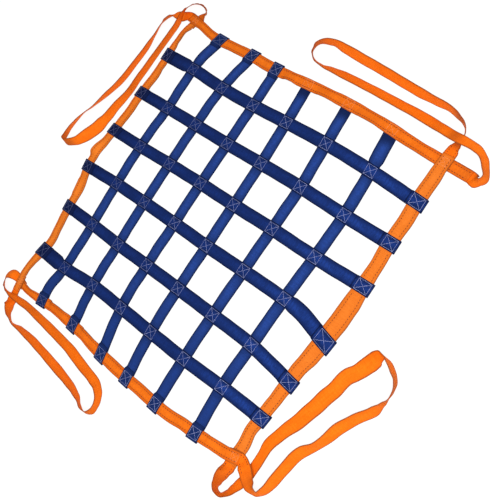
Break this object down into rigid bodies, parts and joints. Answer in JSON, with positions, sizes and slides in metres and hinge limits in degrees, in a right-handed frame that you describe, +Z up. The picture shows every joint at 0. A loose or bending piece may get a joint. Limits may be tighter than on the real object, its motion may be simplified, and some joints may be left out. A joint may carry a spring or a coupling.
{
  "type": "cargo lifting net",
  "caption": "Square cargo lifting net of crossed dark blue webbing straps sewn at every crossing, with a doubled orange webbing border and a long orange lifting loop at each corner.",
  "frame": {"origin": "centre of the laid-out net with its loops, on the floor", "axes": "+X along the row straps towards the near border, +Y along the column straps, +Z up"},
  "size_m": [1.9765, 1.7969, 0.0743],
  "materials": {
    "blue_webbing": "woven, satin",
    "orange_webbing": "woven, satin"
  },
  "bodies": {
    "root": {"row_1": "blue_webbing", "row_2": "blue_webbing", "row_3": "blue_webbing", "row_4": "blue_webbing", "row_5": "blue_webbing", "row_6": "blue_webbing", "column_1": "blue_webbing", "column_2": "blue_webbing", "column_3": "blue_webbing", "column_4": "blue_webbing", "column_5": "blue_webbing", "column_6": "blue_webbing", "border_top": "orange_webbing", "border_right": "orange_webbing", "border_bottom": "orange_webbing", "border_left": "orange_webbing", "loop_top_right": "orange_webbing", "loop_bottom_right": "orange_webbing", "loop_bottom_left": "orange_webbing", "loop_top_left": "orange_webbing"}
  },
  "joints": []
}
